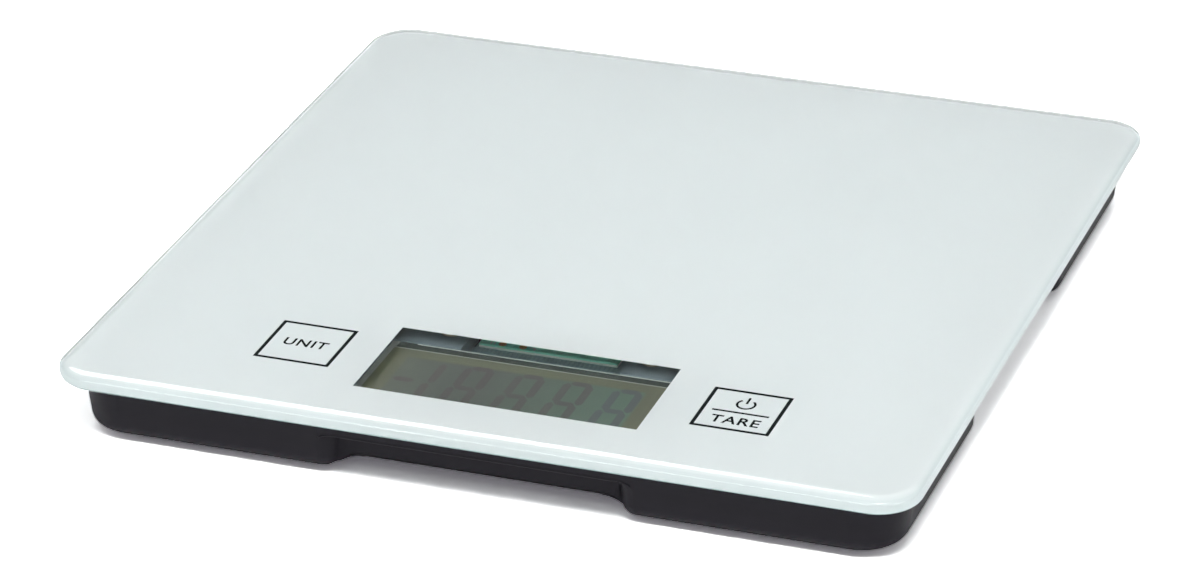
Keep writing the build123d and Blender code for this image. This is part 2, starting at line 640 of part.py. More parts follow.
def all_pieces():
    """Every piece of the scale under its own name."""
    pieces = {
        "glass_platform": glass_platform(),
        "adhesive_ring": adhesive_ring(),
        "base_tray": base_tray(),
        "lcd_frame": lcd_frame(),
        "lcd_flex": lcd_flex(),
        "lcd_screws": group(lcd_screws()),
        "circuit_board": circuit_board(),
        "board_screws": group([screw(x, y, BOARD_TOP) for x, y in BOARD_SCREWS]),
        "controller_blob": controller_blob(),
        "board_components": board_components(),
        "lead_connectors": lead_connectors(),
        "key_electrode_unit": key_electrode(KEY_UNIT),
        "key_electrode_tare": key_electrode(KEY_TARE),
        "electrode_leads": leads(ELECTRODE_LEAD_ROUTES, ELECTRODE_LEAD_R),
        "battery_cell": battery_cell(),
        "battery_contact_negative": battery_contact_negative(),
        "battery_contact_positive": battery_contact_positive(),
        "battery_leads": leads(BATTERY_LEAD_ROUTES, BATTERY_LEAD_R),
        "battery_door": battery_door(),
        "strain_gauges": group(each_corner(strain_gauge())),
    }
    pieces.update(lcd_layers())
    clamp_screws = [screw(side * EAR_OFFSET, 0, RETAINER_TOP) for side in (-1, 1)]
    pieces["retainer_screws"] = group([placed for clamp in clamp_screws for placed in each_corner(clamp)])
    repeated = {
        "foot": foot(),
        "foot_pad": foot_pad(),
        "load_cell": load_cell(),
        "cell_retainer": cell_retainer(),
    }
    for turn, corner in enumerate(CORNERS):
        for name, shape in repeated.items():
            pieces[f"{name}_{corner}"] = at_corner(shape, turn)
        route = [(x, y, CELL_LEAD_Z) for x, y in CELL_LEAD_ROUTES[corner]]
        pieces[f"cell_lead_{corner}"] = leads([route], CELL_LEAD_R)
    return pieces


os.makedirs("parts", exist_ok=True)
for node, piece in all_pieces().items():
    export_step(piece, f"parts/{node}.step")
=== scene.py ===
"""Looks of a slim square kitchen scale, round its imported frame. Metres, in the frame's axes."""

import math

import bmesh
import bpy
from mathutils import Matrix, Vector


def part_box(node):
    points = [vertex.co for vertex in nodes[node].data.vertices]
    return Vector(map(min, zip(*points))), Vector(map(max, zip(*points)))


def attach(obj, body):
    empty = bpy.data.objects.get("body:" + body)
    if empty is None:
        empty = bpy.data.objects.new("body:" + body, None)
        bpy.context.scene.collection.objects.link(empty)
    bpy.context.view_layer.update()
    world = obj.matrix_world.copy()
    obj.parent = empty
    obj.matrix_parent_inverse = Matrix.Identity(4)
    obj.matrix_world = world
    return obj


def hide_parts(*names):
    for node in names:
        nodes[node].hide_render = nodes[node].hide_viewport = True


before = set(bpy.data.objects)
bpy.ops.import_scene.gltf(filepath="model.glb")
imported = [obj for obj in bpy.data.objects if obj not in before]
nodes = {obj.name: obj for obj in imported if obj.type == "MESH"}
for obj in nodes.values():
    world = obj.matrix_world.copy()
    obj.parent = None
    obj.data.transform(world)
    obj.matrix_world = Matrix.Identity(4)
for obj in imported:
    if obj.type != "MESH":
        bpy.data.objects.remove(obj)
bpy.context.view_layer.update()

MM = 0.001
CORNERS = ("front_left", "front_right", "back_right", "back_left")
UP = Vector((0, 0, 1))
QUARTER_TURN = math.pi / 2
SAME_PLACE = 1e-6
NEARLY_LEVEL = 0.9

# Plate
PLATE_SIZE = 200 * MM
PLATE_CORNER = 10 * MM
PLATE_CORNER_STEPS = 20
PLATE_ROLL_WIDTH = 3.2 * MM
PLATE_ROLL_HEIGHT = 1.3 * MM
PLATE_EDGE_ROUND = 1.9 * MM
PLATE_EDGE_STEPS = 14
PLATE_TOP = 18 * MM
PLATE_BACK = 14.02 * MM
WINDOW_HALF = 33.1 * MM
WINDOW_FRONT = -82.75 * MM
WINDOW_REAR = -53.5 * MM
WINDOW_WELD = 1e-7

# Marks printed on the back of the plate
PRINT_LOW = PLATE_BACK + 0.01 * MM
PRINT_THICK = 0.02 * MM
KEY_SIZE = 18.1 * MM
KEY_LINE = 0.86 * MM
UNIT_CENTRE = Vector((-50.86, -67.36, 0)) * MM
UNIT_WORD_SHIFT = Vector((0, -0.05, 0)) * MM
UNIT_WORD_WIDTH = 10.4 * MM
TARE_CENTRE = Vector((52.05, -67.9, 0)) * MM
TARE_WORD_SHIFT = Vector((0.05, -4.6, 0)) * MM
TARE_WORD_WIDTH = 11.2 * MM
LETTER_HEIGHT = 3.3 * MM
LETTER_SPACING = 1.12
LETTER_SWELL = 0.018
LETTER_CURVE_STEPS = 6
LETTER_WELD = 1e-5
POWER_SHIFT = Vector((0, 3.15, 0)) * MM
POWER_RADIUS = 2.0 * MM
POWER_STROKE = 0.55 * MM
POWER_OPENING = math.radians(80)
POWER_RING_STEPS = 40
POWER_BAR_LENGTH = 2.8 * MM
POWER_BAR_MIDDLE = 1.72 * MM
DIVIDER_SHIFT = Vector((0.05, -0.9, 0)) * MM
DIVIDER_LENGTH = 13.0 * MM
DIVIDER_WIDTH = 0.65 * MM

# Display: each unlit sign has its middle, its bars and its darker tone
FILM_TOP = 11.0 * MM
DIGIT_MIDDLE_Y = -71.25 * MM
DIGIT_HALF_HEIGHT = 9.5 * MM
DIGIT_WIDTH = 5.2 * MM
ALL_BARS = "abcdefg"
GHOSTS = (
    ("ghost_minus", -25.9 * MM, "g", (0.069, 0.062, 0.050)),
    ("ghost_one", -22.6 * MM, "bc", (0.062, 0.056, 0.046)),
    ("ghost_digit_1", -11.4 * MM, ALL_BARS, (0.052, 0.047, 0.040)),
    ("ghost_digit_2", 0.65 * MM, ALL_BARS, (0.057, 0.056, 0.047)),
    ("ghost_digit_3", 12.05 * MM, ALL_BARS, (0.064, 0.068, 0.056)),
    ("ghost_digit_4", 23.6 * MM, ALL_BARS, (0.066, 0.086, 0.083)),
)
GHOST_LIGHTER = 1.06
GHOST_LIFT = 0.004 * MM
SEGMENT_WIDTH = 1.9 * MM
SEGMENT_GAP = 0.25 * MM
SEGMENT_POINT = 0.48 * SEGMENT_WIDTH
SEGMENT_THICK = 0.012 * MM
DIGIT_SLANT = math.radians(4)
DIGITS_MIDDLE_X = -0.7 * MM
DIGITS_HALF = 28.2 * MM
DIGITS_REAR = -61.0 * MM
FILM_BLUR = 0.5 * MM
FILM_LEFT_BLEND = (-31 * MM, -16 * MM)
FILM_RIGHT_BLEND = (-8 * MM, 28 * MM)
PANE_END = 33.7 * MM
PANE_END_BLUR = 0.4 * MM

# Ground bevels on two sheets of the display
ARRIS_WIDTH = 0.36 * MM
ARRIS_THICK = 0.03 * MM
ARRIS_BEVEL = 0.6 * ARRIS_THICK
ARRIS_LIFT = 0.003 * MM
ARRIS_INSET = 0.1 * MM
PANE_ARRIS_INSET = 6 * MM

# Beads on the edges of the finger recesses
BEAD_RADIUS = 0.2 * MM
BEAD_SIDES = 10
BEAD_BEND_STEPS = 6
LIP_HALF = 33.2 * MM
LIP_Y = -95.93 * MM
LIP_Z = 10.8 * MM
LIP_BEND = 5.4 * MM
LIP_TURN = math.radians(34)
WALL_FOOT_HALF = 27.5 * MM
WALL_FOOT_Y = -91.0 * MM
WALL_FOOT_Z = 4.3 * MM
WALL_FOOT_BEND = 9.4 * MM
WALL_FOOT_TURN = math.radians(26)

# Board: pads by their middles, strokes by their middles, widths and depths, in millimetres
BOARD_TOP = 10.0 * MM
PAD_PLACES = ((-11.6, -47.15), (-6.7, -47.1))
PAD_RADIUS = 0.95 * MM
PAD_SIDES = 28
PAD_LIFT = 0.005 * MM
PAD_THICK = 0.06 * MM
PAD_BEVEL = 0.6 * PAD_THICK
MARK_STROKES = (
    (-14.3, -47.2, 0.3, 1.3),
    (-13.5, -47.2, 0.3, 1.3),
    (-4.7, -46.9, 1.4, 0.3),
    (-3.8, -47.4, 0.3, 1.2),
)
MARK_THICK = 0.015 * MM
MASK_LAP_END = BOARD_TOP - 0.4 * MM
MASK_LAP_START = BOARD_TOP - 0.5 * MM


# Mesh helpers


def new_piece(name, bm, body, material, smooth=False):
    """Makes the bmesh a piece that moves with a body."""
    bmesh.ops.recalc_face_normals(bm, faces=bm.faces)
    mesh = bpy.data.meshes.new(name)
    for face in bm.faces:
        face.smooth = smooth
    bm.to_mesh(mesh)
    bm.free()
    piece = bpy.data.objects.new(name, mesh)
    bpy.context.scene.collection.objects.link(piece)
    mesh.materials.append(material)
    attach(piece, body)
    return piece


def level_quad(bm, width, depth, centre):
    """One level face of that size round a centre."""
    made = bmesh.ops.create_grid(bm, x_segments=1, y_segments=1, size=0.5)
    bmesh.ops.scale(bm, vec=(width, depth, 1), verts=made["verts"])
    bmesh.ops.translate(bm, vec=centre, verts=made["verts"])
    return made["verts"][0].link_faces[0]


def thicken(bm, faces, height):
    """Draws level faces up into plates of that height."""
    made = bmesh.ops.extrude_face_region(bm, geom=faces)
    raised = [item for item in made["geom"] if isinstance(item, bmesh.types.BMVert)]
    bmesh.ops.translate(bm, vec=UP * height, verts=raised)


# Pieces


def rolled_edge(bm, face, width, height):
    """Raises a level face in steps along a quarter of an ellipse, so that its edge rolls off."""
    for step in range(PLATE_EDGE_STEPS):
        start = QUARTER_TURN * step / PLATE_EDGE_STEPS
        end = QUARTER_TURN * (step + 1) / PLATE_EDGE_STEPS
        bmesh.ops.inset_region(
            bm,
            faces=[face],
            thickness=width * (math.cos(start) - math.cos(end)),
            depth=height * (math.sin(end) - math.sin(start)),
            use_boundary=True,
            use_even_offset=True,
        )


def cut_window(bm):
    """Cuts the plate's back along the four edges of the display window."""
    across = Vector((1, 0, 0))
    along = Vector((0, 1, 0))
    cuts = (
        (across, WINDOW_HALF),
        (across, -WINDOW_HALF),
        (along, WINDOW_FRONT),
        (along, WINDOW_REAR),
    )
    for normal, place in cuts:
        back = [
            face for face in bm.faces if abs(face.calc_center_median().z - PLATE_BACK) < SAME_PLACE
        ]
        edges = dict.fromkeys(edge for face in back for edge in face.edges)
        verts = dict.fromkeys(vert for face in back for vert in face.verts)
        bmesh.ops.bisect_plane(
            bm,
            geom=[*back, *edges, *verts],
            plane_co=normal * place,
            plane_no=normal,
            dist=WINDOW_WELD,
        )


def enamel_back(bm):
    """Gives the plate's back its second material, except for the window."""
    for face in bm.faces:
        middle = face.calc_center_median()
        in_window = abs(middle.x) < WINDOW_HALF and WINDOW_FRONT < middle.y < WINDOW_REAR
        if face.normal.z < -NEARLY_LEVEL and not in_window:
            face.material_index = 1


def glass_plate(glass, enamel):
    """Plate with round corners and a pencil-round edge, enamelled on its back round the window."""
    bm = bmesh.new()
    level_quad(bm, PLATE_SIZE, PLATE_SIZE, UP * (PLATE_BACK + PLATE_EDGE_ROUND))
    bmesh.ops.bevel(
        bm,
        geom=bm.verts[:],
        offset=PLATE_CORNER,
        segments=PLATE_CORNER_STEPS,
        profile=0.5,
        affect="VERTICES",
        material=-1,
    )
    thicken(bm, bm.faces[:], PLATE_TOP - PLATE_BACK - PLATE_ROLL_HEIGHT - PLATE_EDGE_ROUND)
    bmesh.ops.recalc_face_normals(bm, faces=bm.faces)
    rolls = (
        (1, PLATE_ROLL_WIDTH, PLATE_ROLL_HEIGHT),
        (-1, PLATE_EDGE_ROUND, PLATE_EDGE_ROUND),
    )
    for side, width, height in rolls:
        face = next(face for face in bm.faces if side * face.normal.z > NEARLY_LEVEL)
        rolled_edge(bm, face, width, height)
    bm.normal_update()
    cut_window(bm)
    bm.normal_update()
    enamel_back(bm)
    piece = new_piece("glass_plate", bm, "base", glass, smooth=True)
    piece.data.materials.append(enamel)
    piece.modifiers.new("flat_faces", "WEIGHTED_NORMAL")
    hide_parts("glass_platform")


def edge_bead(bm, half, y, z, bend, turn):
    """Fine round bead along an edge of the front recess, turned down at both ends."""
    circle = bmesh.ops.create_circle(bm, cap_ends=False, segments=BEAD_SIDES, radius=BEAD_RADIUS)
    ring = circle["verts"]
    turned = Matrix.Rotation(QUARTER_TURN, 3, "Y")
    bmesh.ops.rotate(bm, cent=Vector(), matrix=turned, verts=ring)
    bmesh.ops.translate(bm, vec=(-half, y, z), verts=ring)
    near = list(dict.fromkeys(edge for vert in ring for edge in vert.link_edges))
    made = bmesh.ops.extrude_edge_only(bm, edges=near)["geom"]
    far = [item for item in made if isinstance(item, bmesh.types.BMVert)]
    bmesh.ops.translate(bm, vec=(2 * half, 0, 0), verts=far)
    far_edges = [edge for edge in bm.edges if all(vert in far for vert in edge.verts)]
    for edges, side in ((near, -1), (far_edges, 1)):
        centre = Vector((side * half, y, z - bend))
        bmesh.ops.spin(
            bm,
            geom=edges,
            cent=centre,
            axis=(0, 1, 0),
            angle=side * turn,
            steps=BEAD_BEND_STEPS,
        )
    open_edges = [edge for edge in bm.edges if edge.is_boundary]
    bmesh.ops.holes_fill(bm, edges=open_edges, sides=0)


def recess_beads(plastic):
    """Beads along the lip and the wall's foot of each finger recess."""
    whole = bmesh.new()
    for side in range(4):
        bm = bmesh.new()
        edge_bead(bm, LIP_HALF, LIP_Y, LIP_Z, LIP_BEND, LIP_TURN)
        edge_bead(bm, WALL_FOOT_HALF, WALL_FOOT_Y, WALL_FOOT_Z, WALL_FOOT_BEND, WALL_FOOT_TURN)
        turned = Matrix.Rotation(side * QUARTER_TURN, 3, "Z")
        bmesh.ops.rotate(bm, cent=Vector(), matrix=turned, verts=bm.verts)
        mesh = bpy.data.meshes.new("recess_side")
        bm.to_mesh(mesh)
        bm.free()
        whole.from_mesh(mesh)
        bpy.data.meshes.remove(mesh)
    new_piece("recess_beads", whole, "base", plastic, smooth=True)


def key_outline(name, centre, ink):
    """Square outline of a touch key."""
    bm = bmesh.new()
    face = level_quad(bm, KEY_SIZE, KEY_SIZE, centre + UP * PRINT_LOW)
    bmesh.ops.inset_region(
        bm, faces=[face], thickness=KEY_LINE, use_boundary=True, use_even_offset=True
    )
    bmesh.ops.delete(bm, geom=[face], context="FACES_ONLY")
    thicken(bm, bm.faces[:], PRINT_THICK)
    new_piece(name, bm, "base", ink)


def key_word(name, word, centre, width, ink):
    """A word in plain capitals, of the letters' height and a given width."""
    curve = bpy.data.curves.new(name, "FONT")
    curve.body = word
    curve.align_x = "CENTER"
    curve.align_y = "CENTER"
    curve.space_character = LETTER_SPACING
    curve.offset = LETTER_SWELL
    curve.resolution_u = LETTER_CURVE_STEPS
    text = bpy.data.objects.new(name, curve)
    bpy.context.scene.collection.objects.link(text)
    bpy.context.view_layer.update()
    mesh = bpy.data.meshes.new_from_object(text)
    bpy.data.objects.remove(text)
    bm = bmesh.new()
    bm.from_mesh(mesh)
    bpy.data.meshes.remove(mesh)
    bmesh.ops.remove_doubles(bm, verts=bm.verts, dist=LETTER_WELD)
    low = Vector([min(vert.co[axis] for vert in bm.verts) for axis in range(3)])
    high = Vector([max(vert.co[axis] for vert in bm.verts) for axis in range(3)])
    bmesh.ops.translate(bm, vec=-(low + high) / 2, verts=bm.verts)
    size = high - low
    bmesh.ops.scale(bm, vec=(width / size.x, LETTER_HEIGHT / size.y, 1), verts=bm.verts)
    bmesh.ops.translate(bm, vec=centre + UP * PRINT_LOW, verts=bm.verts)
    thicken(bm, bm.faces[:], PRINT_THICK)
    new_piece(name, bm, "base", ink)


def power_mark(centre, ink):
    """Broken ring with a bar through the break."""
    bm = bmesh.new()
    face = level_quad(bm, POWER_STROKE, PRINT_THICK, Vector((POWER_RADIUS, 0, 0)))
    verts = face.verts[:]
    stood = Matrix.Rotation(QUARTER_TURN, 3, "X")
    bmesh.ops.rotate(bm, cent=Vector(), matrix=stood, verts=verts)
    turned = Matrix.Rotation(QUARTER_TURN + POWER_OPENING / 2, 3, "Z")
    bmesh.ops.rotate(bm, cent=Vector(), matrix=turned, verts=verts)
    bmesh.ops.spin(
        bm,
        geom=verts + face.edges[:] + [face],
        cent=Vector(),
        axis=UP,
        angle=2 * math.pi - POWER_OPENING,
        steps=POWER_RING_STEPS,
    )
    bmesh.ops.translate(bm, vec=UP * PRINT_THICK / 2, verts=bm.verts)
    bar = level_quad(bm, POWER_STROKE, POWER_BAR_LENGTH, Vector((0, POWER_BAR_MIDDLE, 0)))
    thicken(bm, [bar], PRINT_THICK)
    bmesh.ops.translate(bm, vec=centre + UP * PRINT_LOW, verts=bm.verts)
    new_piece("key_power_mark", bm, "base", ink)


def key_divider(centre, ink):
    """Line between the power mark and the word below it."""
    bm = bmesh.new()
    line = level_quad(bm, DIVIDER_LENGTH, DIVIDER_WIDTH, centre + UP * PRINT_LOW)
    thicken(bm, [line], PRINT_THICK)
    new_piece("key_divider", bm, "base", ink)


def segment_bar(bm, centre, length, upright):
    """Bar with pointed ends, one segment of a digit."""
    size = (SEGMENT_WIDTH, length) if upright else (length, SEGMENT_WIDTH)
    face = level_quad(bm, size[0], size[1], centre)
    bmesh.ops.bevel(
        bm,
        geom=face.verts[:],
        offset=SEGMENT_POINT,
        segments=1,
        profile=0.5,
        affect="VERTICES",
        material=-1,
    )


def ghost_digit(name, centre_x, bars, ink):
    """Unlit segments of one digit, as they faintly show on the display."""
    half_width = DIGIT_WIDTH / 2
    quarter = DIGIT_HALF_HEIGHT / 2
    level = DIGIT_WIDTH - SEGMENT_GAP
    upright = DIGIT_HALF_HEIGHT - SEGMENT_GAP
    places = {
        "a": (0, DIGIT_HALF_HEIGHT, level, False),
        "g": (0, 0, level, False),
        "d": (0, -DIGIT_HALF_HEIGHT, level, False),
        "b": (half_width, quarter, upright, True),
        "c": (half_width, -quarter, upright, True),
        "e": (-half_width, -quarter, upright, True),
        "f": (-half_width, quarter, upright, True),
    }
    bm = bmesh.new()
    for bar in bars:
        x, y, length, stands = places[bar]
        segment_bar(bm, Vector((x + y * math.tan(DIGIT_SLANT), y, 0)), length, stands)
    middle = Vector((centre_x, DIGIT_MIDDLE_Y, FILM_TOP + GHOST_LIFT))
    bmesh.ops.translate(bm, vec=middle, verts=bm.verts)
    thicken(bm, bm.faces[:], SEGMENT_THICK)
    new_piece(name, bm, "base", ink)


def ground_arris(name, reach, y, z, ground):
    """Fine ground bevel along the rear edge of a display sheet, which catches the light."""
    start, end = reach
    bm = bmesh.new()
    middle = Vector(((start + end) / 2, y - ARRIS_WIDTH / 2, z + ARRIS_LIFT))
    strip = level_quad(bm, end - start, ARRIS_WIDTH, middle)
    thicken(bm, [strip], ARRIS_THICK)
    top = z + ARRIS_THICK / 2
    rear = [
        edge
        for edge in bm.edges
        if all(vert.co.y > y - SAME_PLACE and vert.co.z > top for vert in edge.verts)
    ]
    bmesh.ops.bevel(
        bm, geom=rear, offset=ARRIS_BEVEL, segments=2, profile=0.5, affect="EDGES", material=-1
    )
    new_piece(name, bm, "base", ground)


def board_pads(gold):
    """Round solder pads with a domed top, on the board's visible strip."""
    bm = bmesh.new()
    for x, y in PAD_PLACES:
        made = bmesh.ops.create_circle(bm, cap_ends=True, segments=PAD_SIDES, radius=PAD_RADIUS)
        middle = Vector((x * MM, y * MM, BOARD_TOP + PAD_LIFT))
        bmesh.ops.translate(bm, vec=middle, verts=made["verts"])
    thicken(bm, bm.faces[:], PAD_THICK)
    top = BOARD_TOP + PAD_THICK
    rims = [edge for edge in bm.edges if all(vert.co.z > top for vert in edge.verts)]
    bmesh.ops.bevel(
        bm, geom=rims, offset=PAD_BEVEL, segments=3, profile=0.5, affect="EDGES", material=-1
    )
    new_piece("board_pads", bm, "base", gold)


def board_marks(white):
    """Short printed strokes by the pads."""
    bm = bmesh.new()
    for x, y, width, depth in MARK_STROKES:
        level_quad(bm, width * MM, depth * MM, Vector((x * MM, y * MM, BOARD_TOP + PAD_LIFT)))
    thicken(bm, bm.faces[:], MARK_THICK)
    new_piece("board_marks", bm, "base", white)


# Material helpers

LINE_STRETCH = (0.03, 1.0, 1.0)
NOISE_LOW = 0.3
NOISE_HIGH = 0.7


def add_node(tree, kind, inputs=None, **settings):
    """A node with its settings; an input is a plain value or another node's output."""
    node = tree.nodes.new("ShaderNode" + kind)
    for name, value in settings.items():
        setattr(node, name, value)
    for name, value in (inputs or {}).items():
        socket = node.inputs[name]
        if isinstance(value, bpy.types.NodeSocket):
            tree.links.new(value, socket)
        else:
            socket.default_value = value
    return node


def ramp(tree, value, start, end, low=0.0, high=1.0):
    """A value carried from one range to another, and held at the ends."""
    return add_node(tree, "MapRange", {"Value": value, 1: start, 2: end, 3: low, 4: high}).outputs[0]


def calc(tree, operation, *values):
    """The result of a sum on plain values or other nodes' outputs."""
    return add_node(tree, "Math", dict(enumerate(values)), operation=operation).outputs[0]


def chosen(tree, mask, first, second):
    """A value that goes from the first to the second with a mask."""
    return add_node(tree, "Mix", {0: mask, 2: first, 3: second}).outputs[0]


def new_group(name, inputs, outputs):
    """An empty group of nodes with its sockets, and its two ends."""
    group = bpy.data.node_groups.new(name, "ShaderNodeTree")
    for label, value in inputs.items():
        socket = group.interface.new_socket(label, in_out="INPUT", socket_type="NodeSocketFloat")
        socket.default_value = value
    for label in outputs:
        group.interface.new_socket(label, in_out="OUTPUT", socket_type="NodeSocketFloat")
    return group, group.nodes.new("NodeGroupInput"), group.nodes.new("NodeGroupOutput")


def use_group(tree, group, **values):
    """A group placed in a material with its own values."""
    node = tree.nodes.new("ShaderNodeGroup")
    node.node_tree = group
    for label, value in values.items():
        node.inputs[label.capitalize()].default_value = value
    return node


def moulded_grain():
    """Fine spark-eroded texture of moulded plastic, and slow patches in its gloss."""
    group, start, end = new_group("moulded_grain", {"Scale": 4000.0}, ("Height", "Patch"))
    place = add_node(group, "TexCoord").outputs["Object"]
    scale = start.outputs["Scale"]
    fine = add_node(group, "TexNoise", {"Vector": place, "Scale": scale, "Detail": 2.0})
    patches = {"Vector": place, "Scale": 45.0, "Detail": 3.0, "Roughness": 0.6}
    slow = add_node(group, "TexNoise", patches)
    group.links.new(fine.outputs["Fac"], end.inputs["Height"])
    group.links.new(slow.outputs["Fac"], end.inputs["Patch"])
    return group


def drawn_lines():
    """Fine lines along one way, as on rolled or brushed metal."""
    group, start, end = new_group("drawn_lines", {"Scale": 6000.0}, ("Height", "Patch"))
    place = add_node(group, "TexCoord").outputs["Object"]
    stretch = add_node(group, "Mapping", {"Vector": place, "Scale": LINE_STRETCH}).outputs["Vector"]
    scale = start.outputs["Scale"]
    lines = add_node(group, "TexNoise", {"Vector": stretch, "Scale": scale, "Detail": 3.0})
    slow = add_node(group, "TexNoise", {"Vector": place, "Scale": 150.0, "Detail": 2.0})
    group.links.new(lines.outputs["Fac"], end.inputs["Height"])
    group.links.new(slow.outputs["Fac"], end.inputs["Patch"])
    return group


def side_faces():
    """Mask of the faces that stand upright, such as the cut edge of a sheet."""
    group, start, end = new_group("side_faces", {"Level": 0.6, "Upright": 0.4}, ("Mask",))
    normal = add_node(group, "NewGeometry").outputs["Normal"]
    parts = add_node(group, "SeparateXYZ", {"Vector": normal})
    lean = calc(group, "ABSOLUTE", parts.outputs["Z"])
    mask = ramp(group, lean, start.outputs["Level"], start.outputs["Upright"])
    group.links.new(mask, end.inputs["Mask"])
    return group


GRAIN = moulded_grain()
LINES = drawn_lines()
SIDES = side_faces()


def new_material(name, plain):
    """A material whose shader has these plain values."""
    material = bpy.data.materials.new(name)
    material.use_nodes = True
    shader = material.node_tree.nodes["Principled BSDF"]
    for label, value in plain.items():
        shader.inputs[label].default_value = value
    return material, material.node_tree, shader


def between(tree, mask, first, second):
    """A colour that goes from the first to the second with a mask."""
    mix = add_node(tree, "Mix", {0: mask}, data_type="RGBA")
    for socket, value in ((mix.inputs[6], first), (mix.inputs[7], second)):
        if isinstance(value, bpy.types.NodeSocket):
            tree.links.new(value, socket)
        else:
            socket.default_value = (*value, 1)
    return mix.outputs[2]


def spread(tree, value, low, high):
    """A noise's value carried to a range."""
    return ramp(tree, value, NOISE_LOW, NOISE_HIGH, low, high)


def relief(tree, shader, height, depth, strength=1.0):
    """Fine relief of that depth on the shader's surface."""
    bump = add_node(tree, "Bump", {"Height": height, "Distance": depth, "Strength": strength})
    tree.links.new(bump.outputs["Normal"], shader.inputs["Normal"])


def satin_plastic(name, dark, light, rough, grain=3500.0, depth=0.02 * MM, plain=None):
    """Moulded plastic with fine grain and slow patches of gloss."""
    material, tree, shader = new_material(name, plain or {})
    surface = use_group(tree, GRAIN, scale=grain)
    tree.links.new(between(tree, surface.outputs["Patch"], dark, light), shader.inputs["Base Color"])
    tree.links.new(spread(tree, surface.outputs["Patch"], *rough), shader.inputs["Roughness"])
    relief(tree, shader, surface.outputs["Height"], depth)
    return material


def plain_metal(name, dark, light, rough, lines=5000.0, depth=0.004 * MM):
    """Rolled or plated metal with fine lines."""
    material, tree, shader = new_material(name, {"Metallic": 1.0})
    surface = use_group(tree, LINES, scale=lines)
    tree.links.new(between(tree, surface.outputs["Patch"], dark, light), shader.inputs["Base Color"])
    tree.links.new(spread(tree, surface.outputs["Height"], *rough), shader.inputs["Roughness"])
    relief(tree, shader, surface.outputs["Height"], depth)
    return material


def cut_sheet(name, face_dark, face_light, edge, rough, plain=None):
    """A sheet whose cut edges are lighter and duller than its faces."""
    material, tree, shader = new_material(name, plain or {})
    surface = use_group(tree, GRAIN, scale=1200.0)
    sides = use_group(tree, SIDES)
    face = between(tree, surface.outputs["Patch"], face_dark, face_light)
    tree.links.new(between(tree, sides.outputs["Mask"], face, edge), shader.inputs["Base Color"])
    tree.links.new(spread(tree, surface.outputs["Patch"], *rough), shader.inputs["Roughness"])
    return material


# Finishes

PRINT_GLOSS = 0.05
TRAY_GLOSS = 0.14


def clear_glass():
    """Slightly green plate glass, polished on its faces and finely ground round its edge."""
    plain = {"Transmission Weight": 1.0, "IOR": 1.52}
    material, tree, shader = new_material("clear_glass", plain)
    patch = use_group(tree, GRAIN, scale=900.0).outputs["Patch"]
    edge = use_group(tree, SIDES, level=0.995, upright=0.9).outputs["Mask"]
    polished = spread(tree, patch, 0.0, 0.01)
    ground = spread(tree, patch, 0.14, 0.2)
    tree.links.new(chosen(tree, edge, polished, ground), shader.inputs["Roughness"])
    colour = between(tree, edge, (0.99, 1.0, 0.998), (0.73, 0.79, 0.79))
    tree.links.new(colour, shader.inputs["Base Color"])
    tint = add_node(tree, "VolumeAbsorption", {"Color": (0.45, 0.88, 0.86, 1), "Density": 6.0})
    tree.links.new(tint.outputs[0], tree.nodes["Material Output"].inputs["Volume"])
    return material


def white_enamel():
    """Cool white enamel fired on the back of the glass."""
    material, tree, shader = new_material("white_enamel", {"Specular IOR Level": 0.3})
    surface = use_group(tree, GRAIN, scale=2500.0)
    white = between(tree, surface.outputs["Patch"], (0.90, 0.92, 0.923), (0.91, 0.928, 0.931))
    tree.links.new(white, shader.inputs["Base Color"])
    tree.links.new(spread(tree, surface.outputs["Height"], 0.45, 0.6), shader.inputs["Roughness"])
    return material


def display_film():
    """Top film of an unlit display: blue-grey over the digits, olive round them."""
    plain = {"Coat Weight": 0.3, "Coat Roughness": 0.08}
    material, tree, shader = new_material("display_film", plain)
    spot = add_node(tree, "TexCoord").outputs["Object"]
    place = add_node(tree, "SeparateXYZ", {"Vector": spot})
    across = calc(tree, "ABSOLUTE", calc(tree, "SUBTRACT", place.outputs["X"], DIGITS_MIDDLE_X))
    side = ramp(tree, across, DIGITS_HALF - FILM_BLUR, DIGITS_HALF + FILM_BLUR)
    rear = ramp(tree, place.outputs["Y"], DIGITS_REAR - FILM_BLUR, DIGITS_REAR + FILM_BLUR)
    border = calc(tree, "MAXIMUM", side, rear)
    patch = use_group(tree, GRAIN, scale=2500.0).outputs["Patch"]
    left = ramp(tree, place.outputs["X"], *FILM_LEFT_BLEND)
    right = ramp(tree, place.outputs["X"], *FILM_RIGHT_BLEND)
    middle = between(tree, left, (0.102, 0.117, 0.089), (0.067, 0.081, 0.066))
    middle = between(tree, right, middle, (0.096, 0.158, 0.118))
    olive = between(tree, patch, (0.113, 0.116, 0.067), (0.126, 0.128, 0.075))
    tree.links.new(between(tree, border, middle, olive), shader.inputs["Base Color"])
    tree.links.new(spread(tree, patch, 0.3, 0.42), shader.inputs["Roughness"])
    return material


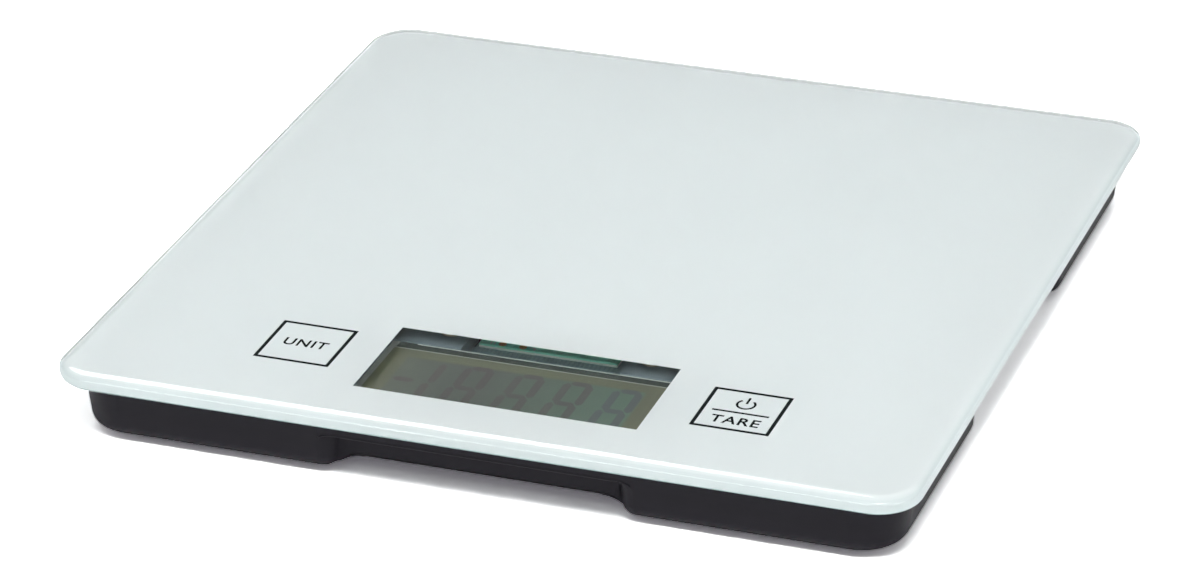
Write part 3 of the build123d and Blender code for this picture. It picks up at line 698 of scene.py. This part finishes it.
def display_pane():
    """Bare margin of the display's top glass: dark behind the film, paler at its ground ends."""
    material, tree, shader = new_material("front_glass", {})
    spot = add_node(tree, "TexCoord").outputs["Object"]
    place = add_node(tree, "SeparateXYZ", {"Vector": spot})
    across = calc(tree, "ABSOLUTE", place.outputs["X"])
    ends = ramp(tree, across, PANE_END - PANE_END_BLUR, PANE_END)
    patch = use_group(tree, GRAIN, scale=2500.0).outputs["Patch"]
    dark = between(tree, patch, (0.075, 0.086, 0.078), (0.085, 0.096, 0.088))
    pale = between(tree, patch, (0.32, 0.35, 0.325), (0.36, 0.39, 0.365))
    face = between(tree, ends, dark, pale)
    cut = use_group(tree, SIDES).outputs["Mask"]
    tree.links.new(between(tree, cut, face, (0.30, 0.34, 0.30)), shader.inputs["Base Color"])
    tree.links.new(spread(tree, patch, 0.12, 0.2), shader.inputs["Roughness"])
    return material


def board_green_painted_light():
    """Green solder mask over faint tracks; the lower part of the cut edge is bare and cream. The
    green, the tracks and the cream are painted far lighter than a real board's, as painted light
    standing in for light that barely reaches the board under the enamel.
    """
    material, tree, shader = new_material("board_green_painted_light", {"Specular IOR Level": 0.25})
    place = add_node(tree, "TexCoord").outputs["Object"]
    layout = {"Vector": place, "Scale": 420.0, "Mortar Size": 0.03, "Mortar Smooth": 0.2}
    tracks = add_node(tree, "TexBrick", layout)
    surface = use_group(tree, GRAIN, scale=1800.0)
    sides = use_group(tree, SIDES)
    # Painted light: the green, the tracks and the cream below are much lighter than the board's own
    # colours, to make up for the little light that reaches it under the enamel.
    green = between(tree, surface.outputs["Patch"], (0.28, 0.84, 0.61), (0.31, 0.88, 0.64))
    mask = between(tree, tracks.outputs["Fac"], green, (0.37, 0.91, 0.70))
    cream = between(tree, surface.outputs["Height"], (0.78, 0.92, 0.82), (0.84, 0.95, 0.87))
    height = add_node(tree, "SeparateXYZ", {"Vector": place}).outputs["Z"]
    below = ramp(tree, height, MASK_LAP_END, MASK_LAP_START)
    bare = calc(tree, "MULTIPLY", sides.outputs["Mask"], below)
    tree.links.new(between(tree, bare, mask, cream), shader.inputs["Base Color"])
    tree.links.new(spread(tree, surface.outputs["Patch"], 0.32, 0.45), shader.inputs["Roughness"])
    relief(tree, shader, tracks.outputs["Fac"], 0.02 * MM, 0.4)
    return material


def heat_seal_strip():
    """Dark flexible strip with fine printed conductors along it."""
    material, tree, shader = new_material("heat_seal_strip", {})
    place = add_node(tree, "TexCoord").outputs["Object"]
    lines = add_node(tree, "TexWave", {"Vector": place, "Scale": 300.0}, bands_direction="X")
    colour = between(tree, lines.outputs["Fac"], (0.18, 0.25, 0.28), (0.25, 0.34, 0.36))
    tree.links.new(colour, shader.inputs["Base Color"])
    tree.links.new(spread(tree, lines.outputs["Fac"], 0.3, 0.45), shader.inputs["Roughness"])
    return material


def gauge_foil():
    """Amber backing film with a folded metal track."""
    material, tree, shader = new_material("gauge_foil", {"Coat Weight": 0.4})
    place = add_node(tree, "TexCoord").outputs["Object"]
    folds = add_node(tree, "TexWave", {"Vector": place, "Scale": 700.0}, bands_direction="DIAGONAL")
    colour = between(tree, folds.outputs["Fac"], (0.42, 0.17, 0.03), (0.72, 0.55, 0.32))
    tree.links.new(colour, shader.inputs["Base Color"])
    tree.links.new(spread(tree, folds.outputs["Fac"], 0.25, 0.4), shader.inputs["Roughness"])
    return material


def paint(material, *names):
    """Gives CAD nodes a material."""
    for name in names:
        mesh = nodes[name].data
        mesh.materials.clear()
        mesh.materials.append(material)


def paint_case():
    """Tray, battery door and the bond under the plate."""
    tray = satin_plastic(
        "tray_black",
        (0.0150, 0.0136, 0.0190),
        (0.0180, 0.0163, 0.0224),
        (0.32, 0.42),
        plain={"Specular IOR Level": TRAY_GLOSS},
    )
    paint(tray, "base_tray", "battery_door")
    recess_beads(tray)
    tape = satin_plastic("bond_grey", (0.45, 0.46, 0.46), (0.52, 0.53, 0.53), (0.6, 0.75), 1500.0)
    paint(tape, "adhesive_ring")


def paint_weighing():
    """Feet, load cells, their frames, leads, gauges and screws."""
    foot = satin_plastic("foot_black", (0.016, 0.016, 0.017), (0.021, 0.021, 0.022), (0.4, 0.52))
    rubber = satin_plastic(
        "pad_rubber",
        (0.030, 0.030, 0.031),
        (0.042, 0.042, 0.043),
        (0.7, 0.85),
        grain=2200.0,
        depth=0.05 * MM,
    )
    steel = plain_metal("cell_steel", (0.50, 0.50, 0.49), (0.60, 0.60, 0.59), (0.28, 0.42))
    retainer = satin_plastic(
        "retainer_white", (0.70, 0.69, 0.65), (0.76, 0.75, 0.71), (0.42, 0.55)
    )
    sleeve = satin_plastic(
        "black_sleeve", (0.014, 0.014, 0.014), (0.02, 0.02, 0.02), (0.4, 0.5), 2500.0
    )
    for corner in CORNERS:
        paint(foot, f"foot_{corner}")
        paint(rubber, f"foot_pad_{corner}")
        paint(steel, f"load_cell_{corner}")
        paint(retainer, f"cell_retainer_{corner}")
        paint(sleeve, f"cell_lead_{corner}")
    paint(gauge_foil(), "strain_gauges")
    screws = plain_metal(
        "screw_steel", (0.42, 0.42, 0.41), (0.55, 0.55, 0.54), (0.25, 0.4), 9000.0
    )
    paint(screws, "retainer_screws", "board_screws")


def paint_display():
    """Display sheets, their holder, its screws and the strip to the board."""
    holder = satin_plastic(
        "holder_grey", (0.235, 0.293, 0.318), (0.262, 0.324, 0.350), (0.45, 0.6)
    )
    paint(holder, "lcd_frame")
    plated = plain_metal(
        "plated_screw", (0.80, 0.74, 0.60), (0.90, 0.84, 0.70), (0.4, 0.55), 9000.0
    )
    paint(plated, "lcd_screws")
    paint(heat_seal_strip(), "lcd_flex")
    reflector = cut_sheet(
        "reflector_grey", (0.30, 0.32, 0.28), (0.34, 0.36, 0.31), (0.4, 0.4, 0.38), (0.4, 0.5)
    )
    paint(reflector, "lcd_reflector")
    ledge = cut_sheet(
        "rear_glass", (0.160, 0.180, 0.172), (0.172, 0.194, 0.184), (0.42, 0.46, 0.44), (0.12, 0.2)
    )
    paint(ledge, "lcd_rear_glass")
    paint(display_pane(), "lcd_front_glass")
    paint(display_film(), "lcd_polariser")


def paint_electrics():
    """Board and what is on it, key electrodes, coin cell, contacts and leads."""
    paint(board_green_painted_light(), "circuit_board")
    epoxy = satin_plastic(
        "epoxy_black",
        (0.008, 0.008, 0.009),
        (0.012, 0.012, 0.013),
        (0.18, 0.3),
        grain=700.0,
        depth=0.05 * MM,
    )
    paint(epoxy, "controller_blob")
    chips = satin_plastic("chip_tan", (0.30, 0.22, 0.13), (0.38, 0.28, 0.17), (0.35, 0.5), 2500.0)
    paint(chips, "board_components")
    plugs = satin_plastic("plug_white", (0.66, 0.64, 0.56), (0.72, 0.70, 0.62), (0.35, 0.5), 2500.0)
    paint(plugs, "lead_connectors")
    copper = plain_metal("copper_foil", (0.75, 0.36, 0.20), (0.85, 0.45, 0.27), (0.25, 0.4))
    paint(copper, "key_electrode_unit", "key_electrode_tare")
    nickel = plain_metal("cell_nickel", (0.60, 0.59, 0.57), (0.70, 0.69, 0.67), (0.18, 0.3), 4000.0)
    paint(nickel, "battery_cell")
    brass = plain_metal("contact_brass", (0.62, 0.52, 0.30), (0.72, 0.62, 0.38), (0.2, 0.35))
    paint(brass, "battery_contact_negative", "battery_contact_positive")
    sleeve = satin_plastic("lead_sleeve", (0.35, 0.02, 0.02), (0.42, 0.03, 0.03), (0.4, 0.5), 2500.0)
    paint(sleeve, "battery_leads", "electrode_leads")


def print_keys():
    """Outlines, words and signs of the two touch keys."""
    ink = satin_plastic(
        "print_black",
        (0.006, 0.007, 0.008),
        (0.010, 0.011, 0.012),
        (0.5, 0.6),
        plain={"Specular IOR Level": PRINT_GLOSS},
    )
    key_outline("key_unit_outline", UNIT_CENTRE, ink)
    key_word("key_unit_word", "UNIT", UNIT_CENTRE + UNIT_WORD_SHIFT, UNIT_WORD_WIDTH, ink)
    key_outline("key_tare_outline", TARE_CENTRE, ink)
    key_word("key_tare_word", "TARE", TARE_CENTRE + TARE_WORD_SHIFT, TARE_WORD_WIDTH, ink)
    power_mark(TARE_CENTRE + POWER_SHIFT, ink)
    key_divider(TARE_CENTRE + DIVIDER_SHIFT, ink)


def detail_display():
    """The unlit digits and the ground edges of two sheets."""
    for name, centre_x, bars, dark in GHOSTS:
        light = [GHOST_LIGHTER * part for part in dark]
        ghost_digit(name, centre_x, bars, satin_plastic(name + "_ink", dark, light, (0.3, 0.4)))
    bright = satin_plastic("ground_glass", (0.60, 0.66, 0.62), (0.72, 0.78, 0.73), (0.4, 0.6))
    low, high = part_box("lcd_front_glass")
    reach = (low.x + PANE_ARRIS_INSET, high.x - ARRIS_INSET)
    ground_arris("front_pane_arris", reach, high.y, high.z, bright)
    dull = satin_plastic("cut_film", (0.28, 0.31, 0.27), (0.35, 0.38, 0.33), (0.4, 0.6))
    low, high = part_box("lcd_polariser")
    reach = (low.x + ARRIS_INSET, high.x - ARRIS_INSET)
    ground_arris("film_arris", reach, high.y, high.z, dull)


def detail_board():
    """Pads and strokes on the board's visible strip."""
    board_pads(plain_metal("pad_gold", (0.80, 0.55, 0.22), (0.90, 0.66, 0.30), (0.25, 0.4)))
    board_marks(satin_plastic("mark_white", (0.60, 0.62, 0.58), (0.68, 0.70, 0.66), (0.5, 0.6)))


# Stage


FLOOR_SIZE = 16
FLOOR_WHITE = 0.95
FLOOR_SEEN = 4.6
FLOOR_GLOW = 0.72
GLOW_REACH = 60 * MM

# Bounce light on dull surfaces, from above and below the horizon
LIGHT_ABOVE = 0.16
LIGHT_BELOW = 1.45
HORIZON = (-0.02, 0.02)

# Brightness of the tent by direction: start and end of each ramp, and the levels there
TENT_BEHIND = (-0.1, 0.2, 0.0, 1.2)
TENT_FOOT = (0.10, 0.30, 0.45, 0.06)
BELT_LOW_EDGE = (0.08, 0.14)
BELT_HIGH_EDGE = (0.24, 0.34, 1.0, 0.0)
TENT_TOP = (0.52, 0.64, 0.0, 0.74)

# Lamps turned to the origin: place, size, power, and whether dull surfaces see them directly
LAMPS = {
    "overhead_softbox": ((0.28, -0.62, 1.4), (0.46, 0.42), 17.2, True),
    "back_softbox": ((-1.0, 1.5, 1.7), (0.9, 0.8), 11, False),
    "front_softbox": ((-0.6, -1.7, 1.05), (1.2, 0.7), 27, False),
    "right_softbox": ((1.5, -0.7, 1.0), (0.8, 0.7), 8, False),
}

# Camera: azimuth, elevation and roll in degrees, lens and sensor in millimetres
CAMERA_ANGLES = (20.642, 26.873, -1.362)
CAMERA_LENS = 147.732
CAMERA_SENSOR = 36.0
CAMERA_PLACE = (0.35562, -0.95911, 0.52351)


def floor_white():
    """White floor, evenly bright in far reflections, clear from below and to bounce light."""
    material, tree = new_material("floor_white", {})[:2]
    material.cycles.emission_sampling = "NONE"
    path = add_node(tree, "LightPath").outputs
    colour = between(tree, path["Is Camera Ray"], (FLOOR_WHITE,) * 3, (FLOOR_SEEN,) * 3)
    white = add_node(tree, "BsdfDiffuse", {"Color": colour}).outputs[0]
    glow = add_node(tree, "Emission", {"Strength": FLOOR_GLOW}).outputs[0]
    far = calc(tree, "GREATER_THAN", path["Ray Length"], GLOW_REACH)
    mirrored = calc(tree, "MULTIPLY", path["Is Glossy Ray"], far)
    bent = calc(tree, "MAXIMUM", mirrored, path["Is Transmission Ray"])
    seen = add_node(tree, "MixShader", {0: bent, 1: white, 2: glow}).outputs[0]
    behind = add_node(tree, "NewGeometry").outputs["Backfacing"]
    passes = calc(tree, "MAXIMUM", behind, path["Is Diffuse Ray"])
    clear = add_node(tree, "BsdfTransparent").outputs[0]
    mix = add_node(tree, "MixShader", {0: passes, 1: seen, 2: clear}).outputs[0]
    tree.links.new(mix, tree.nodes["Material Output"].inputs["Surface"])
    return material


def floor():
    """Plain pale floor under the scale."""
    bm = bmesh.new()
    level_quad(bm, FLOOR_SIZE, FLOOR_SIZE, Vector())
    mesh = bpy.data.meshes.new("floor")
    bm.to_mesh(mesh)
    bm.free()
    mesh.materials.append(floor_white())
    piece = bpy.data.objects.new("floor", mesh)
    bpy.context.scene.collection.objects.link(piece)


def softbox(name, place, size, power, lights_dull):
    """A large soft lamp turned to the origin; some only shine in gloss and through glass."""
    lamp = bpy.data.lights.new(name, "AREA")
    lamp.shape = "RECTANGLE"
    lamp.size, lamp.size_y = size
    lamp.energy = power
    piece = bpy.data.objects.new(name, lamp)
    bpy.context.scene.collection.objects.link(piece)
    piece.location = place
    piece.rotation_mode = "QUATERNION"
    piece.rotation_quaternion = (-Vector(place)).to_track_quat("-Z", "Y")
    piece.visible_diffuse = lights_dull


def studio_light():
    """Tent that is plain white to the eye and dark where the plate mirrors it, with soft lamps."""
    world = bpy.data.worlds.new("studio")
    bpy.context.scene.world = world
    world.use_nodes = True
    tree = world.node_tree
    tree.nodes.clear()
    path = add_node(tree, "LightPath").outputs
    way = add_node(tree, "TexCoord").outputs["Generated"]
    ways = add_node(tree, "SeparateXYZ", {"Vector": way}).outputs
    behind = ramp(tree, ways["Y"], *TENT_BEHIND)
    foot = ramp(tree, ways["Z"], *TENT_FOOT)
    rise = ramp(tree, ways["Z"], *BELT_LOW_EDGE, 0.0, behind)
    fall = ramp(tree, ways["Z"], *BELT_HIGH_EDGE)
    top = ramp(tree, ways["Z"], *TENT_TOP)
    tent = calc(tree, "ADD", calc(tree, "MULTIPLY_ADD", rise, fall, foot), top)
    bounce = ramp(tree, ways["Z"], *HORIZON, LIGHT_BELOW, LIGHT_ABOVE)
    room = chosen(tree, path["Is Diffuse Ray"], tent, bounce)
    level = chosen(tree, path["Is Camera Ray"], room, 1.0)
    background = add_node(tree, "Background", {"Color": (1, 1, 1, 1), "Strength": level})
    end = add_node(tree, "OutputWorld")
    tree.links.new(background.outputs[0], end.inputs["Surface"])
    for name, lamp in LAMPS.items():
        softbox(name, *lamp)


def photo_camera():
    """Camera at the photograph's view, fitted to the plate's outline."""
    azimuth, elevation, roll = (math.radians(angle) for angle in CAMERA_ANGLES)
    back = Vector((
        math.sin(azimuth) * math.cos(elevation),
        -math.cos(azimuth) * math.cos(elevation),
        math.sin(elevation),
    ))
    level = Vector((math.cos(azimuth), math.sin(azimuth), 0))
    right = level * math.cos(roll) + back.cross(level) * math.sin(roll)
    axes = Matrix((right, back.cross(right), back)).transposed()
    data = bpy.data.cameras.new("photo_camera")
    data.lens = CAMERA_LENS
    data.sensor_width = CAMERA_SENSOR
    camera = bpy.data.objects.new("photo_camera", data)
    bpy.context.scene.collection.objects.link(camera)
    camera.matrix_world = Matrix.Translation(CAMERA_PLACE) @ axes.to_4x4()
    bpy.context.scene.camera = camera


bpy.context.scene.view_settings.view_transform = "Standard"
paint_case()
paint_weighing()
paint_display()
paint_electrics()
glass_plate(clear_glass(), white_enamel())
print_keys()
detail_display()
detail_board()
floor()
studio_light()
photo_camera()
